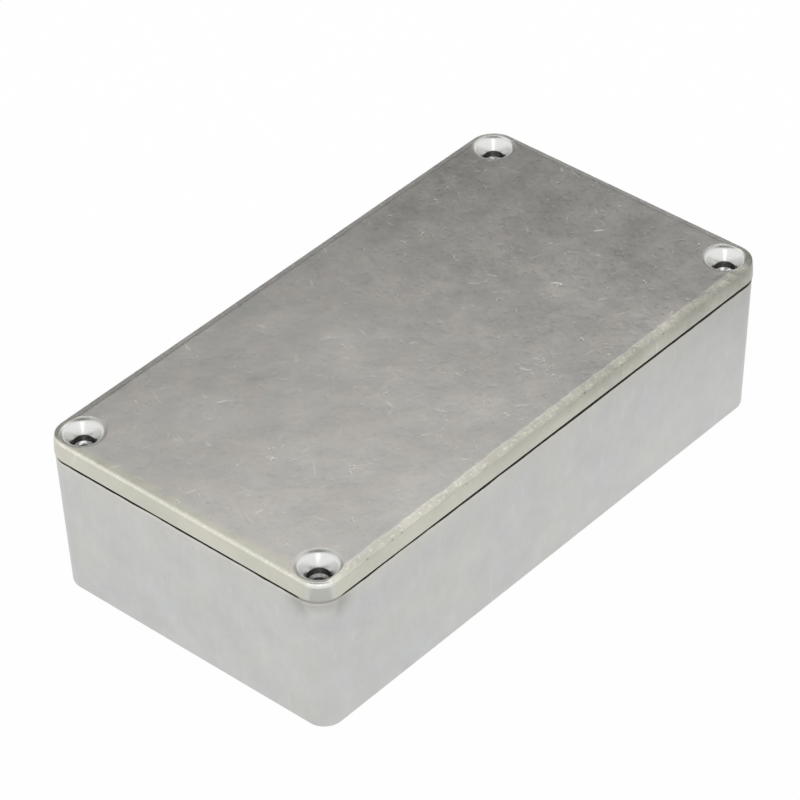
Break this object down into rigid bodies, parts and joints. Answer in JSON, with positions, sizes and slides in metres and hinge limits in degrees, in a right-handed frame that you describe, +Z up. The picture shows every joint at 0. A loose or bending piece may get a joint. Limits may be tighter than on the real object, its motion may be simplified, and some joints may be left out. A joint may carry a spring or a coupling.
{
  "type": "pedal enclosure",
  "caption": "Rectangular die-cast aluminium box with drafted walls, rounded corners and a lap-jointed lid with countersunk corner screw holes, made to house an effects pedal's circuit.",
  "frame": {"origin": "middle of the underside of the body", "axes": "+X along the length, +Y across the width, +Z up through the lid"},
  "size_m": [0.112, 0.0604, 0.031],
  "materials": {
    "cast_aluminium": "raw, tumbled die casting"
  },
  "bodies": {
    "root": {"enclosure_body": "cast_aluminium", "lid": "cast_aluminium"}
  },
  "joints": []
}
